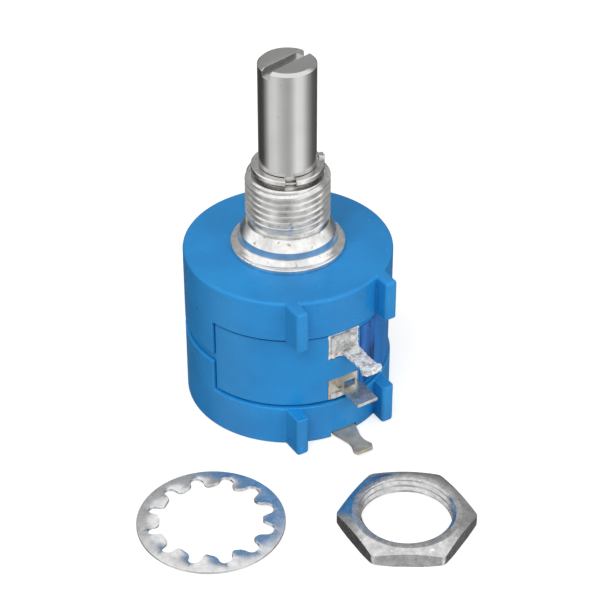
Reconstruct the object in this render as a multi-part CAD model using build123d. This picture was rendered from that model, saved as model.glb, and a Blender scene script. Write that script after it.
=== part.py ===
from build123d import *
import math
import os

# A ten-turn wirewound precision potentiometer, with its loose nut and lock washer.
# Millimetres. The shaft stands along +Z and the rear face lies on z = 0.
# The solder lugs point towards -Y. In names and comments, u is the distance
# from the shaft axis towards the lugs, and s is the distance along +X.

# Housing
body_dia = 22.2
body_length = 18.3
rear_wall = 1.6
front_wall = 1.8
skirt_wall = 1.0
cap_edge_round = 0.35
seam_offset = -0.1
seam_gap = 1.1
window_half_angle = 76.5
window_low = 4.75
front_band_height = 4.65

# Ribs on both caps
rib_offset = 5.3
rib_thickness = 1.4
rib_projection = 0.75
rib_root = 2.4
rib_side_round = 0.38
rib_end_round = 0.35

# Barrel between the caps
barrel_clearance = 0.05
barrel_end_float = 0.05
barrel_wall = 1.25
window_recess = 0.25
window_line = 0.3
seam_ring_recess = 0.35
seam_line = 0.15

# Resistance element
turns = 10
element_end_room = 1.45
element_turn_gap = 0.2
element_end_turn = 0.02
element_seat = 0.02
travel_offset = 0.1

# End clips and terminals
metal = 0.4
clip_length = 1.4
clip_wrap = 0.15
clip_window = 0.05
clip_wall_gap = 0.05
clip_grip = 0.01
tail_skin = 0.15
plate_left = -1.6
plate_right = 2.0
plate_depth = 0.1
front_plate_height = 3.05
rear_plate_height = 2.55
pocket_clearance = 0.05
tail_width = 2.2
tail_clip_share = 0.6
lug_middle = 1.0
lug_root_half = 1.05
lug_neck_half = 0.85
lug_tip_half = 1.15
lug_neck_start = 2.0
lug_flare_length = 1.5
lug_tip_length = 0.5
lug_tip_half_flat = 0.9
front_lug_length = 4.3
front_lug_drop = 2.35
rear_lug_half = 1.25
rear_lug_length = 3.2
rear_lug_rise = 1.2
slit_length = 1.35
slit_height = 0.45
slit_margin = 0.25
wiper_lug_middle = 0.25
wiper_lug_length = 4.15
wiper_strip_half = 1.35
wiper_strip_floor = 0.35
rim_notch_height = 0.85
rim_notch_margin = 0.15
channel_clearance = 0.1

# Solder and sealant on the barrel
solder_rise = 0.2
solder_margin = 0.35
solder_gap = 0.15
solder_bevel = 0.12
sealant_rise = 0.1
sealant_from_angle = 12.5
sealant_to_angle = 25.0
sealant_margin = 0.3

# Bushing
shaft_dia = 6.0
bushing_clearance = 0.025
spigot_dia = 9.2
lip_dia = 10.4
lip_height = 0.3
flange_dia = 12.1
flange_thickness = 0.55
collar_dia = 10.16
collar_fillet = 0.75
collar_top = 2.0
cone_top_dia = 8.8
cone_height = 1.2
thread_dia = 8.9
thread_pitch = 0.75
thread_root_share = 0.25
thread_crest_share = 0.125
thread_length = 5.3
thread_relief = 0.4
thread_relief_depth = 0.06
thread_run_out = 0.25
thread_overshoot = 0.04
lip_chamfer = 0.4
bore_chamfer = 0.25

# Shaft and clip
shaft_length_above_body = 21.7
shaft_chamfer = 0.3
slot_width = 1.1
slot_depth = 0.9
slot_angle = 14.0
shaft_clip_gap = 0.4
retaining_thickness = 0.6
retaining_dia = 7.6
groove_dia = 5.0
groove_play = 0.05
retaining_opening = 1.15
retaining_azimuth = -26.0
shaft_tail = 0.35
groove_cut = 1.0

# Rotor hub and collector
hub_dia = 11.2
hub_rear_gap = 1.35
washer_play = 0.03
washer_bore_gap = 0.05
thrust_thickness = 0.35
thrust_dia = 8.6
slip_ring_dia = 8.4
slip_ring_thickness = 0.3
slip_ring_bore_gap = 0.1
slot_floor = 3.9
foot_slot_width = 3.6
neck_slot_width = 2.4
foot_slot_top = 4.9
guide_clearance = 0.1
rail_width = 1.2
rail_thickness = 0.3

# Carriage
carriage_length = 1.8
carriage_foot_floor = 4.45
carriage_head_offset = 0.05
carriage_head_width = 4.6
carriage_head_chamfer = 0.3
brush_half_length = 0.75
brush_half_flat = 0.3
brush_half_width = 0.45
brush_thickness = 0.1
brush_gap = 0.03
contact_thickness = 0.14
contact_width = 0.7
contact_gap = 0.1
contact_base_end = 1.9
contact_rise_from = 0.75
contact_bow_from = 0.9
contact_bow_to = 1.35
contact_curl_end = 1.9
contact_curl_drop = 0.5
rivet_shank = 0.6

# End stops moulded on the caps
stop_width = 1.4
stop_clearance = 0.1
stop_height = 1.2
stop_hub_gap = 0.3

# Collector spring and its rivet in the rear cap
spring_disc_dia = 3.8
spring_thickness = 0.2
finger_width = 0.9
finger_radius = 3.7
finger_gap = 0.05
finger_root_overlap = 0.4
finger_flat = 0.9
finger_flat_inner = 0.5
finger_bend_shift = 0.15
finger_foot_shift = 0.35
centre_shank = 1.4
centre_head = 2.6
centre_head_height = 0.25
strip_eye = 3.8

# Loose nut and lock washer
nut_across_flats = 12.4
nut_thickness = 1.9
nut_face_dia = 11.6
nut_bevel_rise = 0.54
nut_minor_dia = 8.6
nut_hole_edge_dia = 9.9
nut_hole_edge_slope = 30.0
nut_thread_clearance = 0.05
nut_x = -2.1
nut_y = -26.48
nut_corner_angle = 27.6
washer_dia = 15.1
washer_valley_dia = 13.1
washer_tip_dia = 10.5
washer_thickness = 0.3
washer_teeth = 12
tooth_width = 1.7
tooth_root = 0.35
tooth_twist = 20.0
washer_x = -18.83
washer_y = -16.05

# How far a cutter reaches past what it cuts
cut_over = 1.0

# Sizes worked out from the ones above
body_r = body_dia / 2
shaft_r = shaft_dia / 2
rib_reach = body_r + rib_projection
skirt_inner_r = body_r - skirt_wall
barrel_r = skirt_inner_r - barrel_clearance
bore_r = barrel_r - barrel_wall
front_wall_face = body_length - front_wall
window_high = body_length - front_band_height
seam_height = body_length / 2 + seam_offset
pad_r = body_r - window_recess
seam_ring_r = body_r - seam_ring_recess
seam_low = seam_height - seam_gap / 2
seam_high = seam_height + seam_gap / 2
pad_low = window_low + window_line
pad_high = window_high - window_line
pad_half_angle = window_half_angle - math.degrees(window_line / body_r)

pitch = (front_wall_face - rear_wall - 2 * element_end_room) / turns
element_wire = pitch - element_turn_gap
travel = turns * pitch
travel_middle = (rear_wall + front_wall_face) / 2 + travel_offset
contact_front = travel_middle + travel / 2
contact_rear = travel_middle - travel / 2
wire_r = element_wire / 2
element_inner_r = bore_r - wire_r
element_outer_r = bore_r + wire_r
end_rise = element_end_turn * pitch
end_angle = element_end_turn * 360
end_shift = bore_r * math.sin(math.radians(end_angle))

tail_floor = element_outer_r + tail_skin
tail_outer = tail_floor + metal
plate_outer = pad_r - plate_depth
plate_inner = plate_outer - metal
plate_middle = (plate_left + plate_right) / 2
front_plate_low = pad_high - front_plate_height
rear_plate_high = pad_low + rear_plate_height
front_lug_top = pad_high - front_lug_drop
rear_lug_top = pad_low + rear_lug_rise
front_lug_reach = body_r + front_lug_length
rear_lug_reach = body_r + rear_lug_length
lug_clear = pad_r + pocket_clearance
wiper_lug_reach = body_r + wiper_lug_length
clip_height = element_wire + 2 * clip_wrap
strip_top = wiper_strip_floor + metal

bushing_bore_r = shaft_r + bushing_clearance
collar_z = body_length + collar_top
cone_z = collar_z + cone_height
thread_top = cone_z + thread_length
bushing_top = thread_top + lip_chamfer
thread_r = thread_dia / 2
thread_depth = (1 - thread_crest_share - thread_root_share) * thread_pitch / 2 * math.sqrt(3)
thread_root_r = thread_r - thread_depth

shaft_top = body_length + shaft_length_above_body
clip_low = bushing_top + shaft_clip_gap
clip_high = clip_low + retaining_thickness

hub_low = rear_wall + hub_rear_gap
lip_low = front_wall_face - lip_height
hub_high = lip_low - thrust_thickness - 2 * washer_play
hub_r = hub_dia / 2
carriage_head_top = (hub_r + element_inner_r) / 2 + carriage_head_offset
rail_top = slot_floor + rail_thickness
slip_ring_low = hub_low - slip_ring_thickness
shaft_low = hub_low - shaft_tail


def block(s0, s1, u0, u1, z0, z1):
    """Upright box between two values of s, u and z."""
    middle = ((s0 + s1) / 2, -(u0 + u1) / 2, (z0 + z1) / 2)
    return Pos(*middle) * Box(s1 - s0, u1 - u0, z1 - z0)


def prism(points, z0, z1):
    """Upright solid on a closed outline of (s, u) points."""
    outline = Wire.make_polygon([Vector(s, -u, z0) for s, u in points], close=True)
    return extrude(Face(outline), amount=z1 - z0, dir=(0, 0, 1))


def side_prism(points, s0, s1):
    """Solid along X on a closed outline of (u, z) points."""
    outline = Wire.make_polygon([Vector(s0, -u, z) for u, z in points], close=True)
    return extrude(Face(outline), amount=s1 - s0, dir=(1, 0, 0))


def disc(radius, z0, z1):
    return Pos(0, 0, (z0 + z1) / 2) * Cylinder(radius, z1 - z0)


def ring(inner, outer, z0, z1):
    return disc(outer, z0, z1) - disc(inner, z0, z1)


def turned(*points):
    """Solid turned about Z from a closed outline of (radius, z) points."""
    outline = Wire.make_polygon([Vector(r, 0, z) for r, z in points], close=True)
    return revolve(Face(outline), Axis.Z, 360)


def wedge(from_angle, to_angle, z0, z1):
    """Everything between two azimuths, counted from the lug side towards +X."""
    reach = 2 * body_r
    steps = 6
    points = [(0, 0)]
    for step in range(steps + 1):
        angle = math.radians(from_angle + (to_angle - from_angle) * step / steps)
        points.append((reach * math.sin(angle), reach * math.cos(angle)))
    return prism(points, z0, z1)


def helix_tube(wire_radius):
    """The element's helix: it starts past the rear contact and ends past the front one."""
    path = Helix(pitch=pitch, height=travel + 2 * end_rise, radius=bore_r)
    section = Plane(origin=path @ 0, z_dir=path % 0) * Circle(wire_radius)
    tube = sweep(section, path=path, is_frenet=True)
    return Pos(0, 0, contact_rear - end_rise) * Rot(0, 0, -90 - end_angle) * tube


def thread_groove(crest_r, root_r, length, outside):
    """A helical V groove, cut from outside on a screw or from inside in a nut."""
    crest_half = (1 - thread_crest_share) * thread_pitch / 2
    root_half = thread_root_share * thread_pitch / 2
    slope = (crest_half - root_half) / abs(crest_r - root_r)
    wide_r = crest_r + thread_overshoot if outside else crest_r - thread_overshoot
    wide_half = crest_half + thread_overshoot * slope
    path = Helix(pitch=thread_pitch, height=length, radius=crest_r)
    outline = [(wide_r, wide_half), (wide_r, -wide_half), (root_r, -root_half), (root_r, root_half)]
    section = Face(Wire.make_polygon([Vector(r, 0, z) for r, z in outline], close=True))
    return sweep(section, path=path, is_frenet=True)


def rib(side, z0, z1, outer_end):
    """One moulded rib, parallel to the lugs, with its corners rounded at the cap's outer face."""
    middle = side * rib_offset
    half = rib_thickness / 2
    bar = block(middle - half, middle + half, body_r - rib_root, rib_reach, z0, z1)
    bar = fillet(bar.edges().filter_by(Axis.Z).group_by(Axis.Y)[0], rib_side_round)
    end = bar.faces().sort_by(Axis.Z)[outer_end]
    rim = end.edges().sort_by(Axis.Y)[:-1]
    return fillet(rim, rib_end_round)


def cap_shell(z_end, z_face, z_skirt, edge_round):
    """End wall and skirt of a cap as one turned solid. z_end is the outer face."""
    up = 1 if z_end > z_skirt else -1
    corner = z_end - up * edge_round
    middle = edge_round * (1 - math.sqrt(0.5))
    outline = Polyline((skirt_inner_r, z_face), (0, z_face), (0, z_end), (body_r - edge_round, z_end))
    outline += ThreePointArc(
        (body_r - edge_round, z_end), (body_r - middle, z_end - up * middle), (body_r, corner)
    )
    outline += Polyline(
        (body_r, corner), (body_r, z_skirt), (skirt_inner_r, z_skirt), (skirt_inner_r, z_face)
    )
    return revolve(make_face(Plane.XZ * outline), Axis.Z, 360)


def front_cap():
    shell = cap_shell(body_length, front_wall_face, seam_high, cap_edge_round)
    shell -= wedge(-window_half_angle, window_half_angle, 0, window_high)
    for side in (-1, 1):
        shell += rib(side, window_high, body_length, -1) - disc(skirt_inner_r, 0, front_wall_face)
    shell -= disc(spigot_dia / 2, front_wall_face - cut_over, body_length + cut_over)
    stop_start = carriage_head_width / 2 + stop_clearance
    stop = block(
        stop_start, stop_start + stop_width, hub_r + stop_hub_gap, carriage_head_top,
        front_wall_face - stop_height, front_wall_face,
    )
    return shell + stop


def rear_cap():
    shell = cap_shell(0, rear_wall, seam_low, cap_edge_round)
    shell -= wedge(-window_half_angle, window_half_angle, window_low, body_length)
    for side in (-1, 1):
        shell += rib(side, 0, window_low, 0) - disc(skirt_inner_r, rear_wall, body_length)
    stop_end = -carriage_head_width / 2 - stop_clearance
    shell += block(
        stop_end - stop_width, stop_end, hub_r + stop_hub_gap, carriage_head_top,
        rear_wall, rear_wall + stop_height,
    )
    half = wiper_strip_half + channel_clearance
    outside = body_r + cut_over
    below = -cut_over
    shell -= block(wiper_lug_middle - half, wiper_lug_middle + half, 0, outside, below, strip_top)
    shell -= disc(strip_eye / 2 + channel_clearance, below, strip_top)
    notch_half = half + rim_notch_margin
    shell -= block(
        wiper_lug_middle - notch_half, wiper_lug_middle + notch_half,
        skirt_inner_r, outside, below, rim_notch_height,
    )
    return shell - disc(centre_shank / 2, below, rear_wall + cut_over)


def clip_centre(front):
    """Middle of an end clip as (s, z)."""
    if front:
        return end_shift, contact_front + end_rise
    return -end_shift, contact_rear - end_rise


def tail_span(front):
    """Left and right side of a terminal's tail, which lies over the end clip."""
    middle = clip_centre(front)[0] * tail_clip_share + plate_middle * (1 - tail_clip_share)
    return middle - tail_width / 2, middle + tail_width / 2


def barrel():
    tube = disc(barrel_r, rear_wall, front_wall_face - barrel_end_float)
    pad = disc(pad_r, pad_low, pad_high) & wedge(-pad_half_angle, pad_half_angle, pad_low, pad_high)
    tube += pad
    tube += disc(seam_ring_r, seam_low + seam_line, seam_high - seam_line)
    tube -= disc(bore_r, 0, body_length)
    tube -= helix_tube(wire_r + element_seat)
    left = plate_left - pocket_clearance
    right = plate_right + pocket_clearance
    jog = metal + pocket_clearance
    tube -= block(left, right, plate_inner, body_r, front_plate_low - pocket_clearance, window_high)
    tube -= block(left, right, plate_inner, body_r, window_low, rear_plate_high + pocket_clearance)
    for front in (True, False):
        middle, height = clip_centre(front)
        tail_left, tail_right = tail_span(front)
        low = pad_high - jog if front else rear_wall
        high = front_wall_face if front else pad_low + jog
        tube -= block(
            tail_left - pocket_clearance, tail_right + pocket_clearance, tail_floor, body_r, low, high
        )
        half = clip_length / 2 + clip_window
        tall = clip_height / 2 + clip_window
        tube -= block(
            middle - half, middle + half, bore_r - cut_over, tail_floor, height - tall, height + tall
        )
    return tube


def end_clip(front):
    middle, height = clip_centre(front)
    half = clip_length / 2
    tall = clip_height / 2
    shoe = block(
        middle - half, middle + half, bore_r + clip_wall_gap, tail_floor, height - tall, height + tall
    )
    return shoe - helix_tube(wire_r + clip_grip)


def lug(middle, start, reach, z0, z1, root_half):
    """Solder lug: wide root, narrower neck and flared tip."""
    neck = start + lug_neck_start
    flare = reach - lug_flare_length
    right = [
        (middle + root_half, start), (middle + lug_neck_half, neck),
        (middle + lug_neck_half, flare), (middle + lug_tip_half, reach - lug_tip_length),
        (middle + lug_tip_half_flat, reach),
    ]
    left = [(2 * middle - s, u) for s, u in reversed(right)]
    return prism(right + left, z0, z1)


def front_terminal():
    left, right = tail_span(True)
    tail_top = clip_centre(True)[1] + clip_height / 2
    plate = block(plate_left, plate_right, plate_inner, plate_outer, front_plate_low, pad_high)
    plate += block(left, right, tail_floor, plate_outer, pad_high - metal, pad_high)
    plate += block(left, right, tail_floor, tail_outer, pad_high - metal, tail_top)
    lug_low = front_lug_top - metal
    return plate + lug(lug_middle, plate_inner, front_lug_reach, lug_low, front_lug_top, lug_root_half)


def rear_terminal():
    left, right = tail_span(False)
    tail_low = clip_centre(False)[1] - clip_height / 2
    plate = block(plate_left, plate_right, plate_inner, plate_outer, pad_low, rear_plate_high)
    plate += block(left, right, tail_floor, plate_outer, pad_low, pad_low + metal)
    plate += block(left, right, tail_floor, tail_outer, tail_low, pad_low + metal)
    slit_end = plate_right - slit_margin
    plate -= block(
        slit_end - slit_length, slit_end, plate_inner - cut_over, plate_outer + cut_over,
        rear_lug_top, rear_lug_top + slit_height,
    )
    lug_low = rear_lug_top - metal
    lug_left = lug_middle - rear_lug_half
    lug_right = lug_middle + rear_lug_half
    plate += block(lug_left, plate_right, plate_inner, lug_clear, lug_low, rear_lug_top)
    return plate + block(lug_left, lug_right, lug_clear, rear_lug_reach, lug_low, rear_lug_top)


def wiper_terminal():
    middle = wiper_lug_middle
    left = middle - wiper_strip_half
    right = middle + wiper_strip_half
    strip = block(left, right, 0, body_r, wiper_strip_floor, strip_top)
    strip += disc(strip_eye / 2, wiper_strip_floor, strip_top)
    strip += lug(middle, body_r, wiper_lug_reach, wiper_strip_floor, strip_top, wiper_strip_half)
    return strip - disc(centre_shank / 2, 0, rear_wall)


def solder_joint(z0, z1):
    """Low mound of solder on a terminal plate."""
    mound = block(
        plate_left + solder_margin, plate_right - solder_margin,
        plate_outer, plate_outer + solder_rise, z0, z1,
    )
    return chamfer(mound.faces().sort_by(Axis.Y)[0].edges(), solder_bevel)


def terminal_sealant():
    skin = ring(pad_r, pad_r + sealant_rise, pad_low + sealant_margin, pad_high - sealant_margin)
    return skin & wedge(sealant_from_angle, sealant_to_angle, 0, body_length)


def threaded_bushing():
    collar_r = collar_dia / 2
    flange_top = body_length + flange_thickness
    arc_end = collar_r + collar_fillet
    bend = collar_fillet * (1 - math.sqrt(0.5))
    relief_r = thread_root_r - thread_relief_depth
    outline = Polyline(
        (bushing_bore_r, lip_low), (lip_dia / 2, lip_low), (lip_dia / 2, front_wall_face),
        (spigot_dia / 2, front_wall_face), (spigot_dia / 2, body_length),
        (flange_dia / 2, body_length), (flange_dia / 2, flange_top), (arc_end, flange_top),
    )
    outline += ThreePointArc(
        (arc_end, flange_top), (collar_r + bend, flange_top + bend),
        (collar_r, flange_top + collar_fillet),
    )
    outline += Polyline(
        (collar_r, flange_top + collar_fillet), (collar_r, collar_z), (cone_top_dia / 2, cone_z),
        (relief_r, cone_z), (relief_r, cone_z + thread_relief),
        (thread_r, cone_z + thread_relief + thread_run_out), (thread_r, thread_top),
        (thread_r - lip_chamfer, bushing_top), (bushing_bore_r + bore_chamfer, bushing_top),
        (bushing_bore_r, bushing_top - bore_chamfer), (bushing_bore_r, lip_low),
    )
    blank = revolve(make_face(Plane.XZ * outline), Axis.Z, 360)
    groove = thread_groove(thread_r, thread_root_r, thread_length + 2 * thread_pitch, True)
    return blank - Pos(0, 0, cone_z) * groove


def shaft():
    bar = disc(shaft_r, shaft_low, shaft_top)
    bar = chamfer(bar.edges().filter_by(GeomType.CIRCLE), shaft_chamfer)
    groove = ring(groove_dia / 2, shaft_r + groove_cut, clip_low - groove_play, clip_high + groove_play)
    slot = Pos(0, 0, shaft_top) * Rot(0, 0, slot_angle) * Box(body_dia, slot_width, 2 * slot_depth)
    return bar - groove - slot


def retaining_clip():
    """Open ring, with its gap towards retaining_azimuth."""
    clip = ring(groove_dia / 2 + groove_play, retaining_dia / 2, clip_low, clip_high)
    gap = block(-retaining_opening / 2, retaining_opening / 2, 0, retaining_dia, clip_low, clip_high)
    return clip - Rot(0, 0, retaining_azimuth) * gap


def rotor_hub():
    hub = ring(shaft_r, hub_r, hub_low, hub_high)
    half_foot = foot_slot_width / 2
    half_neck = neck_slot_width / 2
    hub -= block(-half_foot, half_foot, slot_floor, foot_slot_top, 0, body_length)
    return hub - block(-half_neck, half_neck, slot_floor, hub_r + cut_over, 0, body_length)


def collector_rail():
    half = rail_width / 2
    return block(-half, half, slot_floor, rail_top, hub_low, hub_high)


def slip_ring():
    return ring(shaft_r + slip_ring_bore_gap, slip_ring_dia / 2, slip_ring_low, hub_low)


def thrust_washer():
    low = hub_high + washer_play
    return ring(shaft_r + washer_bore_gap, thrust_dia / 2, low, low + thrust_thickness)


def carriage_block():
    """Foot and neck in the guide slot of the hub, and a head outside it."""
    low = contact_front - carriage_length / 2
    high = contact_front + carriage_length / 2
    foot_half = foot_slot_width / 2 - guide_clearance
    neck_half = neck_slot_width / 2 - guide_clearance
    foot_top = foot_slot_top - guide_clearance
    head_low = hub_r + guide_clearance
    part = block(-foot_half, foot_half, carriage_foot_floor, foot_top, low, high)
    part += block(-neck_half, neck_half, carriage_foot_floor, head_low + guide_clearance, low, high)
    half = carriage_head_width / 2
    part += block(-half, half, head_low, carriage_head_top, low, high)
    top = part.edges().filter_by(Axis.Z).group_by(Axis.Y)[0]
    part = chamfer(top, carriage_head_chamfer)
    hole = Pos(0, 0, contact_front) * Rot(90, 0, 0) * Cylinder(rivet_shank / 2, 2 * body_dia)
    return part - hole


def wiper_contact():
    """Bent spring strip on the carriage head. Its bow runs on the element."""
    base = carriage_head_top
    bow = element_inner_r - contact_gap
    t = contact_thickness
    curl = bow - contact_curl_drop
    outer = [
        (-contact_base_end, base + t), (-contact_rise_from, base + t), (contact_bow_from, bow),
        (contact_bow_to, bow), (contact_curl_end, curl),
    ]
    inner = [
        (contact_curl_end - t, curl), (contact_bow_to - t / 2, bow - t),
        (contact_bow_from + t / 2, bow - t), (-contact_rise_from + t, base), (-contact_base_end, base),
    ]
    half = contact_width / 2
    return prism(outer + inner, contact_front - half, contact_front + half)


def collector_brush():
    """Shallow bow between the rail and the foot of the carriage."""
    low = rail_top + brush_gap
    high = carriage_foot_floor
    t = brush_thickness
    z0 = contact_front - brush_half_length
    z1 = contact_front + brush_half_length
    flat0 = contact_front - brush_half_flat
    flat1 = contact_front + brush_half_flat
    points = [
        (high, z0), (high - t, z0), (low, flat0), (low, flat1),
        (high - t, z1), (high, z1), (low + t, flat1), (low + t, flat0),
    ]
    return side_prism(points, -brush_half_width, brush_half_width)


def carriage_rivet():
    """Pin through the carriage, from the brush to the root of the contact."""
    start = rail_top + brush_gap + brush_thickness
    end = carriage_head_top
    pin = Cylinder(rivet_shank / 2, end - start)
    return Pos(0, -(start + end) / 2, contact_front) * Rot(90, 0, 0) * pin


def collector_spring():
    """Disc with two fingers that rise to the slip ring."""
    low = rear_wall
    plate = disc(spring_disc_dia / 2, low, low + spring_thickness)
    touch = slip_ring_low - finger_gap
    t = spring_thickness
    start = spring_disc_dia / 2 - finger_root_overlap
    bend = finger_radius - finger_flat_inner
    tip = bend + finger_flat
    points = [
        (start, low), (start, low + t), (bend, touch), (tip, touch), (tip, touch - t),
        (bend + finger_bend_shift, touch - t), (start + finger_foot_shift, low),
    ]
    finger = side_prism(points, -finger_width / 2, finger_width / 2)
    for angle in (90, -90):
        plate += Rot(0, 0, angle) * finger
    return plate - disc(centre_shank / 2, 0, body_length)


def terminal_rivet():
    spring_top = rear_wall + spring_thickness
    pin = disc(centre_shank / 2, wiper_strip_floor - centre_head_height, spring_top + centre_head_height)
    pin += disc(centre_head / 2, wiper_strip_floor - centre_head_height, wiper_strip_floor)
    return pin + disc(centre_head / 2, spring_top, spring_top + centre_head_height)


def mounting_nut():
    apothem = nut_across_flats / 2
    corner = apothem / math.cos(math.pi / 6)
    hexagon = [
        (corner * math.cos(math.radians(60 * k)), -corner * math.sin(math.radians(60 * k)))
        for k in range(6)
    ]
    nut = prism(hexagon, 0, nut_thickness)
    face_r = nut_face_dia / 2
    rise = nut_bevel_rise
    nut &= turned(
        (0, 0), (face_r, 0), (corner, rise), (corner, nut_thickness - rise),
        (face_r, nut_thickness), (0, nut_thickness),
    )
    minor_r = nut_minor_dia / 2
    edge_r = nut_hole_edge_dia / 2
    depth = (edge_r - minor_r) * math.tan(math.radians(nut_hole_edge_slope))
    over = nut_thickness + cut_over
    nut -= turned(
        (0, -cut_over), (edge_r, -cut_over), (edge_r, 0), (minor_r, depth),
        (minor_r, nut_thickness - depth), (edge_r, nut_thickness), (edge_r, over), (0, over),
    )
    major_r = thread_r + nut_thread_clearance
    groove = thread_groove(minor_r, major_r, nut_thickness + 2 * thread_pitch, False)
    nut -= Pos(0, 0, -thread_pitch) * groove
    return Pos(nut_x, nut_y, 0) * Rot(0, 0, nut_corner_angle) * nut


def lock_washer():
    """Flat ring with twisted internal teeth. The lowest tooth corners rest on the table."""
    half = washer_thickness / 2
    tip_r = washer_tip_dia / 2
    valley_r = washer_valley_dia / 2
    lift = math.sin(math.radians(tooth_twist)) * tooth_width / 2
    lift += math.cos(math.radians(tooth_twist)) * half
    washer = ring(valley_r, washer_dia / 2, lift - half, lift + half)
    reach = valley_r + tooth_root - tip_r
    for k in range(washer_teeth):
        tooth = Box(reach, tooth_width, washer_thickness)
        tooth = Pos(tip_r + reach / 2, 0, lift) * Rot(-tooth_twist, 0, 0) * tooth
        washer += Rot(0, 0, 360 * k / washer_teeth) * tooth
    return Pos(washer_x, washer_y, 0) * washer


def solder_on(front):
    if front:
        return solder_joint(front_lug_top + solder_gap, pad_high - solder_gap)
    return solder_joint(pad_low + solder_gap, rear_lug_top - metal - solder_gap)


parts = {
    "front_cap": front_cap,
    "rear_cap": rear_cap,
    "barrel": barrel,
    "threaded_bushing": threaded_bushing,
    "resistance_element": lambda: helix_tube(wire_r),
    "front_end_clip": lambda: end_clip(True),
    "rear_end_clip": lambda: end_clip(False),
    "front_terminal": front_terminal,
    "rear_terminal": rear_terminal,
    "wiper_terminal": wiper_terminal,
    "front_solder_joint": lambda: solder_on(True),
    "rear_solder_joint": lambda: solder_on(False),
    "terminal_sealant": terminal_sealant,
    "collector_spring": collector_spring,
    "terminal_rivet": terminal_rivet,
    "shaft": shaft,
    "retaining_clip": retaining_clip,
    "rotor_hub": rotor_hub,
    "collector_rail": collector_rail,
    "slip_ring": slip_ring,
    "thrust_washer": thrust_washer,
    "carriage_block": carriage_block,
    "wiper_contact": wiper_contact,
    "collector_brush": collector_brush,
    "carriage_rivet": carriage_rivet,
    "mounting_nut": mounting_nut,
    "lock_washer": lock_washer,
}

os.makedirs("parts", exist_ok=True)
for name, make in parts.items():
    export_step(make(), f"parts/{name}.step")
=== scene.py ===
import math
from types import SimpleNamespace

import bmesh
import bpy
from bpy.props import FloatProperty, FloatVectorProperty, IntProperty, PointerProperty
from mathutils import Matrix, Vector


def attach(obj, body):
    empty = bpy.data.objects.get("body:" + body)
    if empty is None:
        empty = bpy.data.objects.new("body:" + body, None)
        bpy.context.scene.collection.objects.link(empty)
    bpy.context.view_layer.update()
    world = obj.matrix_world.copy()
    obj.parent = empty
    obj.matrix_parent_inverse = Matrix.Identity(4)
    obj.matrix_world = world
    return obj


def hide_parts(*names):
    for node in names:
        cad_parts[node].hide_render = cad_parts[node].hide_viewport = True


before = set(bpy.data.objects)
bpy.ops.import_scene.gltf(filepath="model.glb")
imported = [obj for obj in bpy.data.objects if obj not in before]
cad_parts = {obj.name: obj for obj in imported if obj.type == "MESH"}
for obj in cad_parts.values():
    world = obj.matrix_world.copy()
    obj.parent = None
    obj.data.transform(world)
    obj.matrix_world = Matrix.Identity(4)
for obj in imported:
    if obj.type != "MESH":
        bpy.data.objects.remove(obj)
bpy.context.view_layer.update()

bl_info = {
    "name": "Precision potentiometer",
    "version": (1, 0, 0),
    "blender": (4, 5, 0),
    "location": "3D View > Sidebar > Potentiometer",
    "description": "Models a ten-turn wirewound potentiometer with its loose nut and lock washer",
    "category": "Object",
}

MM = 0.001

MERGE = 1e-7

# Millimetres: how near a place counts as found, a free gap, and how far a tool stands proud
NEAR = 0.01
PLAY = 0.05
PROUD = 1

# Sides of a full turn. The caps' 1.5 degrees put the window's ends on whole steps
CAP_STEPS = 240
METAL_STEPS = 144
THREAD_STEPS = 96

# The side of the lugs, and how far the window and the pad in it reach from there, with their steps
LUG_SIDE = math.radians(-90)
WINDOW_REACH = math.radians(76.5)
WINDOW_STEPS = 102
PAD_REACH = math.radians(75.2)
PAD_STEPS = 100

# Radii of the bushing's neck and lip in the front cap, and of the rivet's hole at the rear
NECK_RADIUS = 4.6
LIP_RADIUS = 5.2
RIVET_HOLE = 0.7

# Edge loops along a washer's tooth, from its tip. The last lies just past the valleys
TOOTH_LOOPS = (0, 0.2, 0.4, 0.6, 0.8, 1.05)


def size(name, millimetres, description):
    return FloatProperty(
        name=name, description=description, default=millimetres * MM, unit="LENGTH", precision=5
    )


def turn(name, degrees, description):
    return FloatProperty(
        name=name, description=description, default=math.radians(degrees), subtype="ANGLE"
    )


def tint(name, red, green, blue, description):
    return FloatVectorProperty(
        name=name, description=description, default=(red, green, blue),
        subtype="COLOR", size=3, min=0.0, max=1.0,
    )


class HousingSizes(bpy.types.PropertyGroup):
    body_radius: size("Body radius", 11.1, "Outer radius of both caps")
    body_length: size("Body length", 18.3, "From the rear face to the front face")
    skirt_wall: size("Skirt wall", 1.0, "Wall of the caps' skirts")
    front_wall: size("Front wall", 1.8, "End wall of the front cap")
    rear_wall: size("Rear wall", 1.6, "End wall of the rear cap")
    edge_round: size("Edge round", 0.35, "Rounding of the caps' outer edges")
    seam_low: size("Seam, low side", 8.5, "Where the rear skirt ends")
    seam_high: size("Seam, high side", 9.6, "Where the front skirt ends")
    window_low: size("Window, low side", 4.75, "Lower edge of the window")
    window_high: size("Window, high side", 13.65, "Upper edge of the window")
    rib_offset: size("Rib offset", 5.3, "Middle of each rib from the middle of the lugs' side")
    rib_width: size("Rib width", 1.4, "Thickness of a rib")
    rib_reach: size("Rib reach", 11.85, "Outer end of a rib from the axis")
    rib_root: size("Rib root", 9.15, "Inner end of a rib, inside the skirt's wall")
    rib_round: size("Rib round", 0.36, "Rounding of a rib's outer edges")
    barrel_radius: size("Barrel radius", 10.05, "Barrel under the skirts")
    barrel_bore: size("Barrel bore", 8.8, "Radius of the barrel's bore")
    pad_radius: size("Pad radius", 10.85, "Barrel's surface in the window")
    pad_line: size("Pad line", 0.3, "Gap between the window's edge and the pad")
    seam_radius: size("Seam ring radius", 10.75, "Barrel's ring in the seam")
    seam_line: size("Seam ring line", 0.15, "Gap between a skirt and the ring in the seam")


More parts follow.
